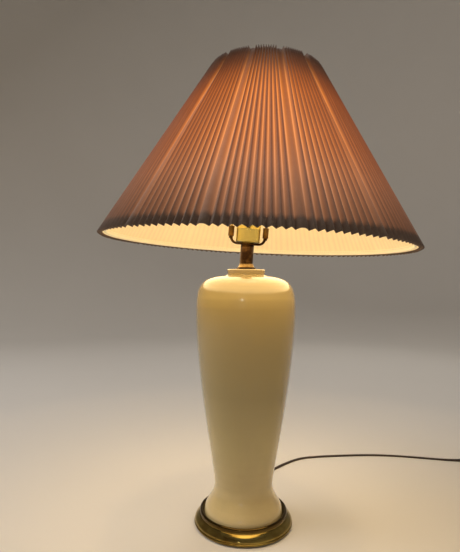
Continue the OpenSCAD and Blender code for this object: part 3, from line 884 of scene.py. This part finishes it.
def make_sleeves():
    """The two sleeves that lock the harp's feet to the saddle."""
    outline = [(3.2, 11), (3.8, 11), (4.15, 11.3), (4.2, 12.3), (4.05, 12.6), (4.05, 23.5), (4.2, 23.9),
               (4.15, 24.9), (3.6, 25.3), (2.1, 25.3), (2.1, 24.3), (3.2, 24.3)]
    for side, at in at_legs.items():
        sleeve = lathe(f"locking_sleeve_{side}", outline, "sleeve_brass", at, 48)
        place(sleeve, f"{side}_lock", "brass", f"sleeve_{side}")


def make_saddle():
    """The strap under the socket, bent up into two arms with a post at the end of each."""
    flat_x = LEG_X - ARM_TOP + SADDLE_T / 2
    outer = arc((flat_x, ARM_TOP), ARM_TOP, -90, 0, 12)
    wide, tall = (ARM_TOP - ARM_T) / ARM_TOP, (ARM_TOP - SADDLE_T) / ARM_TOP
    inner = [(flat_x + wide * (x - flat_x), ARM_TOP + tall * (z - ARM_TOP)) for x, z in outer]
    right = [((a + c) / 2, (b + d) / 2, math.hypot(a - c, b - d)) for (a, b), (c, d) in zip(outer, inner)]
    path = [(-x, 0, z) for x, z, _ in reversed(right)] + [(x, 0, z) for x, z, _ in right]
    thick = [t for _, _, t in reversed(right)] + [t for _, _, t in right]

    def section(i):
        narrow = min(1.0, abs(path[i][0]) / LEG_X)
        return rounded_box(4.5 - 1.2 * narrow ** 3, thick[i] / 2 - 0.02, 1.2)

    strap = sweep("saddle_strap", path, section, "saddle_brass", fitter)
    place(strap, "lamp_base", "brass", "harp_saddle")
    boss = [(BORE_R, 0), (9.1, 0), (9.5, 0.4), (9.5, SADDLE_T - 0.4), (9.1, SADDLE_T), (BORE_R, SADDLE_T)]
    place(lathe("saddle_boss", boss, "saddle_brass", fitter, 64), "lamp_base", "brass", "harp_saddle")
    post = [(0, 8.1), (2.8, 8.1), (2.8, 17.2), (2.2, 18), (0, 18)]
    for side, at in at_legs.items():
        arm_post = lathe(f"saddle_post_{side}", post, "saddle_brass", at, 32, looped=False)
        place(arm_post, "lamp_base", "brass", "harp_saddle")


def make_socket():
    """The socket's cup and shell: thin pressed brass with rolled beads, and the switch's knob."""
    cup = [(BORE_R, SADDLE_T), (9, SADDLE_T), (9, 3.6)] + arc((SOCKET_R - 1.2, 4.8), 1.2, -90, 0, 6)
    cup += [(SOCKET_R, 20.4), (SOCKET_R + 0.15, 21), (SOCKET_R + 0.3, 21.8), (SOCKET_R + 0.15, 22.6),
            (SOCKET_R, 23.2), (SOCKET_R, CAP_TOP), (SOCKET_R - 0.8, CAP_TOP), (SOCKET_R - 0.8, 5),
            (8, 5), (8, 8.5), (BORE_R, 8.5)]
    place(lathe("socket_cup", cup, "bright_brass", fitter, 128, sharp=50),
          "lamp_base", "brass", "socket_cap")
    shell = [(16, CAP_TOP), (SOCKET_R, CAP_TOP), (SOCKET_R + 0.2, 26), (SOCKET_R, 27), (16.85, 28)]
    for z in (40, 55):
        shell += [(16.85, z - 1.2), (17.05, z - 0.6), (17.15, z), (17.05, z + 0.6), (16.85, z + 1.2)]
    shell += [(16.8, SHELL_TOP - 2), (SOCKET_R + 0.3, SHELL_TOP - 1), (16.8, SHELL_TOP), (16, SHELL_TOP)]
    place(lathe("socket_sleeve", shell, "bright_brass", fitter, 128, sharp=50),
          "lamp_base", "brass", "socket_shell")
    collar = [(2.4, 15.6), (4.6, 15.6), (4.6, 17.3), (4.1, 17.7), (2.4, 17.7)]
    place(lathe("switch_collar", collar, "brass", at_knob, 40), "lamp_base", "brass")
    grip = [(0, 3), (2, 3), (2, 22), (5.4, 22), (6.2, 22.7), (6.2, 32.4), (5.8, 33.2), (4.4, 33.8), (2.2, 34),
            (1.8, 33.6), (0, 33.6)]
    knob = lathe("switch_grip", grip, "knob", at_knob, 144, looped=False,
                 relief=lambda a, r, z: -0.42 * (1 - abs(math.cos(12 * a))) if r > 5.7 else 0)
    place(knob, "knob", "knob_plastic", "switch_knob")


def make_finial():
    """A turned finial: base, waist, ball and button."""
    outline = [(3.2, 1.8), (7.4, 1.8), (7.8, 2.1), (8.1, 2.8), (7.8, 3.5), (7.0, 3.8), (5.6, 4.0), (4.7, 4.5),
               (4.1, 5.6), (3.9, 6.8), (4.1, 7.9)]
    outline += [(4.9, 8.2), (5.2, 8.7), (4.9, 9.2)] + arc((0, 16.3), 8, -54, 60, 20)
    outline += [(3.2, 23.6), (2.7, 24.1), (2.6, 24.6)] + arc((0, 25.8), 2.6, -30, 90, 10)
    outline += [(0, 15.9), (3.2, 15.8)]
    place(lathe("turned_finial", outline, "bright_brass", at_shade, 96, sharp=50),
          "finial_nut", "brass", "finial")


def make_bulb():
    """The lit bulb: frosted glass, threaded cap, black insulator and soldered tip."""
    top = BULB_MIDDLE + BULB_R
    neck = [(13.8, GLASS_Z), (14.4, GLASS_Z + 16), (BULB_R, BULB_MIDDLE - 22), (BULB_R, BULB_MIDDLE)]
    outer = along(neck, 24) + arc((0, BULB_MIDDLE), BULB_R, 0, 90, 24)
    inner = [(max(0.0, r - 0.7), min(z, top - 0.8)) for r, z in outer[:-1]] + [(0, top - 0.8)]
    glass = lathe("bulb_envelope", outer + list(reversed(inner)), "bulb_glass", fitter, 96)
    heights = [(fitter.inverted() @ v.co).z / MM for v in glass.data.vertices]
    attribute(glass, "rise", [(z - GLASS_Z) / (top - GLASS_Z) for z in heights])
    glass.visible_shadow = False
    place(glass, "bulb", "bulb", "bulb_glass")
    thread = [(11.0, TIP_Z + 3.2), (12.0, TIP_Z + 4.4)]
    thread += [(12.55, TIP_Z + 5 + 0.3 * i) for i in range(55)]
    thread += [(12.9, GLASS_Z - 1.2), (12.7, GLASS_Z - 0.2), (11.5, GLASS_Z), (11.0, GLASS_Z - 0.6)]
    cap = lathe("bulb_cap", thread, "cap_metal", fitter, 72,
                relief=lambda a, r, z: 0.5 * math.sin(2 * math.pi * z / 3.63 - a) if 12.5 < r < 12.6 else 0)
    place(cap, "bulb", "cap_metal", "bulb_base")
    rim = [(11.4, TIP_Z + 3.4), (10.6, TIP_Z + 3.0), (5.2, TIP_Z + 1.0), (4.0, TIP_Z + 1.0), (4.0, TIP_Z + 4),
           (11.0, TIP_Z + 4.2)]
    place(lathe("bulb_insulator", rim, "phenolic", fitter, 64), "bulb", "knob_plastic", "bulb_base")
    tip = [(0, TIP_Z), (2.2, TIP_Z + 0.1), (3.6, TIP_Z + 0.6), (4.2, TIP_Z + 1.2), (0, TIP_Z + 1.4)]
    place(lathe("bulb_tip", tip, "steel", fitter, 40, looped=False), "bulb", "cap_metal", "bulb_base")


# ---- neck, vase, foot ----

def make_neck():
    """The flange on the vase, the collar on it and the tube, whose top is cut to the saddle's lean."""
    disc = [(BORE_R, VASE_TOP), (13.5, VASE_TOP), (13.8, VASE_TOP + 0.3), (13.8, DISC_TOP - 0.8),
            (13.3, DISC_TOP - 0.1), (BORE_R, DISC_TOP)]
    place(lathe("neck_disc", disc, "antique_brass"), "lamp_base", "antique_brass", "neck_flange")
    collar = [(BORE_R, DISC_TOP), (11.5, DISC_TOP), (11.6, 354.6), (10.9, 355.6), (10.4, 356.9),
              (10.1, 357.9), (10.2, 358.4), (9.8, 359), (9.4, FLANGE_TOP), (BORE_R, FLANGE_TOP)]
    place(lathe("neck_collar", collar, "collar_brass"), "lamp_base", "antique_brass", "neck_flange")
    around, points = 96, []
    slope = math.tan(math.radians(FITTER_LEAN))
    rings = [(0, 0), (0, 0.04), (0.25, 0.05), (0.25, 0.07), (0, 0.08), (0, 0.5), (0, 0.94), (0.2, 0.95),
             (0.2, 0.965), (0, 0.975), (0, 1), (1.4, 1), (1.4, 0)]
    for inset, share in rings:
        for x, y in circle(TUBE_R - inset, around):
            points.append((FITTER_X * share + x, y, blend((FLANGE_TOP, FITTER_Z - x * slope), share)))
    tube = add_mesh("neck_pipe", points, strips(len(rings), around, looped=True), "antique_brass")
    place(tube, "lamp_base", "antique_brass", "neck_tube")


def make_vase():
    """The glazed vase: thrown walls, a rolled neck rim and a foot ring with no glaze under it."""
    bottom, neck_z = 15.5, VASE_TOP - 9
    foot = [(VASE_FOOT_R, bottom), (VASE_FOOT_R, 30), (WAIST_R, 36), (WAIST_R, WAIST_Z)]
    belly = [(WAIST_R, WAIST_Z), (WAIST_R, 75), (BELLY_R, 203), (BELLY_R, BELLY_Z)]
    shoulder = [(BELLY_R, BELLY_Z), (BELLY_R, BELLY_Z + 34), (60.5, neck_z - 1.2), (NECK_R - 1.4, neck_z)]
    wall = along(foot, 24) + along(belly, 60) + along(shoulder, 40)
    neck = [(26.2, neck_z + 0.05), (25.75, neck_z + 0.3), (25.65, neck_z + 0.8), (26.0, neck_z + 2.6),
            (26.7, VASE_TOP - 2.6), (26.9, VASE_TOP - 1.9)]
    rim = arc((NECK_R - 1.4, VASE_TOP - 1.4), 1.35, -10, 90, 8)
    inside = [(r - VASE_WALL, max(20, min(z, VASE_TOP - VASE_WALL - 3))) for r, z in reversed(wall[:-4])]
    outline = [(9, 14), (53, 14), (54.1, 14.6)] + wall + neck + rim
    outline += [(18, VASE_TOP), (BORE_R, VASE_TOP), (BORE_R, VASE_TOP - VASE_WALL),
                (20, VASE_TOP - VASE_WALL)]
    outline += inside + [(9, 20)]

    def thrown(a, r, z):
        if r < 20 or z < 16:
            return 0
        rings = 0.07 * math.sin(0.55 * z) + 0.05 * math.sin(1.7 * z + 1)
        return rings + 0.10 * math.sin(2 * a + 0.6) * math.sin(math.pi * z / VASE_TOP)

    vase = lathe("glazed_vase", outline, "glaze", world, 160, relief=thrown, sharp=55)
    place(vase, "lamp_base", "glaze", "vase")


def make_foot():
    """The brass foot ring and the felt under it."""
    rim = (FOOT_R - 1.4, FELT_T + 1.4)
    skirt = [(FOOT_R - 0.9, 4.6), (FOOT_R, 7.4), (FOOT_R - 2.4, 9.6), SKIRT_TOP]
    outline = [(FOOT_R - 4.6, FELT_T)] + arc(rim, 1.4, -90, 72, 14)
    outline += [(66.6, 4.25), (66.7, 4.45)] + along(skirt, 24) + [SKIRT_TOP, (60.2, 13.4), (60.0, 13.7)]
    outline += arc((58.2, BEAD_TOP - 2.3), 2.3, -12, 172, 22) + [(55.6, 17.0), (55.1, 16.6)]
    outline += [(54.9, 14), (BORE_R, 14), (BORE_R, 12.5), (58.6, 12.5), (62.2, 10.7), (63.6, 7.6), (63.6, 5)]
    ring = lathe("brass_foot", outline, "foot_brass_painted_dark", world, 192, sharp=60)
    place(ring, "lamp_base", "brass", "base_ring")
    around, rng = 240, random.Random(3)
    ragged = [rng.uniform(-0.25, 0.1) for _ in range(around)]
    felt = [(0, 0), (30, 0), (63.2, 0), (63.8, 0.3), (64, 0.8), (63.8, 1.3), (63.2, FELT_T), (30, FELT_T),
            (0, FELT_T)]
    pad = lathe("felt_disc", felt, "felt", world, around, looped=False,
                relief=lambda a, r, z: ragged[round(a / (2 * math.pi) * around)] if r > 60 else 0)
    place(pad, "lamp_base", "felt", "felt_pad")


# ---- the rest of the CAD nodes, which keep their shape ----

def dress_nodes():
    """Gives the hidden nodes, the bottom ring and the filament their looks."""
    finishes = {"base_weight": "iron", "base_nut": "steel", "lock_washer": "steel", "center_rod": "steel",
                "socket_nipple": "steel", "socket_liner": "paperboard", "socket_body": "phenolic",
                "screw_shell": "brass", "centre_contact": "brass", "cord_inside": "cord",
                "shade_bottom_ring": "wire_brass", "filament": "stem_glass"}
    for node, finish in finishes.items():
        mesh = frame["nodes"][node].data
        mesh.materials.clear()
        mesh.materials.append(looks[finish])
    frame["nodes"]["filament"].visible_shadow = False


pleats = make_pleats()
liner = make_liner()
hem = make_hem()
top_wrap = make_top_wrap()
make_spider()
make_harp()
make_sleeves()
make_saddle()
make_socket()
make_finial()
make_bulb()
make_neck()
make_vase()
make_foot()
dress_nodes()


# ---- light and stage ----

def area_light(name, at, aim, size, power, colour, mirrored=False):
    """A round lamp that the camera does not see; only a mirrored one shows in glaze and metal."""
    data = bpy.data.lights.new(name, "AREA")
    data.shape = "DISK"
    data.size = size
    data.energy = power
    data.color = colour
    lamp = add_object(name, data)
    lamp.location = at
    lamp.rotation_euler = (Vector(aim) - Vector(at)).to_track_quat("-Z", "Y").to_euler()
    lamp.visible_camera = False
    lamp.visible_glossy = mirrored


def bulb_lights():
    """The lamp's own warm light from the middle of the bulb: all round, and a wide cone downwards."""
    for kind, power, size in (("POINT", 0.15, 0.026), ("SPOT", 2.3, 0.024)):
        data = bpy.data.lights.new(f"bulb_{kind.lower()}", kind)
        data.energy = power
        data.shadow_soft_size = size
        data.color = (1.0, 0.72, 0.38)
        if kind == "SPOT":
            data.spot_size = math.radians(118)
            data.spot_blend = 0.12
        add_object(data.name, data).location = fitter @ Vector((0, 0, BULB_MIDDLE * MM))


def make_stage():
    """A pale floor that curves up far away on every side."""
    look = Look("pale_floor", Roughness=0.55, Specular_IOR_Level=0.3)
    look.to("Base Color", look.mix(look.noise(3, 3), (0.72, 0.675, 0.615), (0.69, 0.645, 0.585)))
    looks[look.name] = look.material
    flat_r, bend_r, wall_top = 2000, 1200, 5200
    outline = [(0, 0), (400, 0), (1200, 0), (flat_r, 0)] + arc((flat_r, bend_r), bend_r, -90, 0, 16)
    outline += [(flat_r + bend_r, wall_top)]
    floor = lathe("floor", outline, look.name, looped=False, sharp=80)


area_light("key", at=(-1.75, -0.1, 1.75), aim=(0, 0, 0.45), size=1.8, power=28, colour=(0.96, 0.95, 0.96))
area_light("fill", at=(1.5, -0.9, 1.0), aim=(0, 0, 0.3), size=1.6, power=1.5, colour=(1.0, 0.95, 0.88))
area_light("rim", at=(0.7, 1.5, 1.5), aim=(0, 0, 0.35), size=1.2, power=8, colour=(1.0, 0.97, 0.92))
area_light("glint", at=(-0.3, -2.2, 0.75), aim=(0, 0, 0.1), size=0.09, power=1.6, colour=(1.0, 0.97, 0.92),
           mirrored=True)
area_light("shade_glow", at=(0.010, 0, 0.383), aim=(0.010, 0, 0), size=0.40, power=1.0,
           colour=(1.0, 0.78, 0.45), mirrored=True)
bulb_lights()
make_stage()
scene.view_settings.view_transform = "Standard"
scene.world = bpy.data.worlds.new("studio")
scene.world.use_nodes = True
background = scene.world.node_tree.nodes["Background"].inputs
background["Color"].default_value = (0.88, 0.86, 0.82, 1)
background["Strength"].default_value = 0.25
